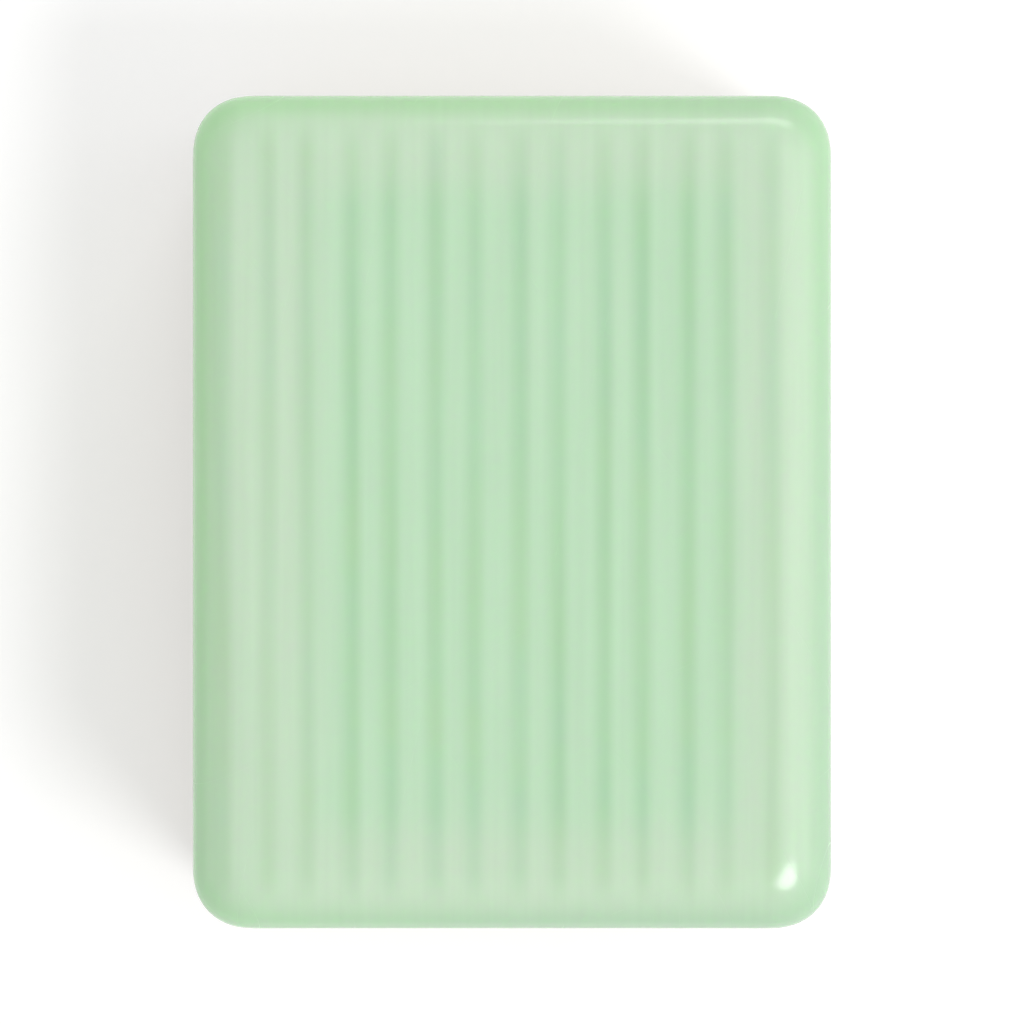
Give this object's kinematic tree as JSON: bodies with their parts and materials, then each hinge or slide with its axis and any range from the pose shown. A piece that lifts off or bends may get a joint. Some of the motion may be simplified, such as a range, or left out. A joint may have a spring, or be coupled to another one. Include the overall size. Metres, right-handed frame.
{
  "type": "mahjong tile",
  "caption": "Small soft-cornered gaming tile: translucent pale green back keyed over a white ribbed core, ivory face block with enamelled circles in its engraving.",
  "frame": {"origin": "centre of the engraved face, on which the tile lies, at z = 0", "axes": "+X along the short side, +Y along the long side, +Z from the engraved face to the coloured back"},
  "size_m": [0.023, 0.03, 0.014],
  "materials": {
    "back_green": "polished, milky translucent",
    "core_white": "moulded, unpolished",
    "adhesive": "cured adhesive",
    "face_ivory": "polished",
    "enamel_green": "glossy filled enamel",
    "enamel_red": "glossy filled enamel",
    "enamel_blue": "glossy filled enamel"
  },
  "bodies": {
    "root": {"back_cap": "back_green", "ribbed_core": "core_white", "bond_frame": "adhesive", "face_block": "face_ivory", "ring_top_left": "enamel_green", "ring_top_centre": "enamel_green", "ring_top_right": "enamel_green", "ring_middle_left": "enamel_red", "ring_middle_centre": "enamel_red", "ring_middle_right": "enamel_red", "ring_bottom_left": "enamel_blue", "ring_bottom_centre": "enamel_blue", "ring_bottom_right": "enamel_blue", "petals_top_left": "enamel_green", "petals_top_centre": "enamel_green", "petals_top_right": "enamel_green", "petals_middle_left": "enamel_red", "petals_middle_centre": "enamel_red", "petals_middle_right": "enamel_red", "petals_bottom_left": "enamel_blue", "petals_bottom_centre": "enamel_blue", "petals_bottom_right": "enamel_blue", "dot_top_left": "enamel_green", "dot_top_centre": "enamel_green", "dot_top_right": "enamel_green", "dot_middle_left": "enamel_red", "dot_middle_centre": "enamel_red", "dot_middle_right": "enamel_red", "dot_bottom_left": "enamel_blue", "dot_bottom_centre": "enamel_blue", "dot_bottom_right": "enamel_blue"}
  },
  "joints": []
}
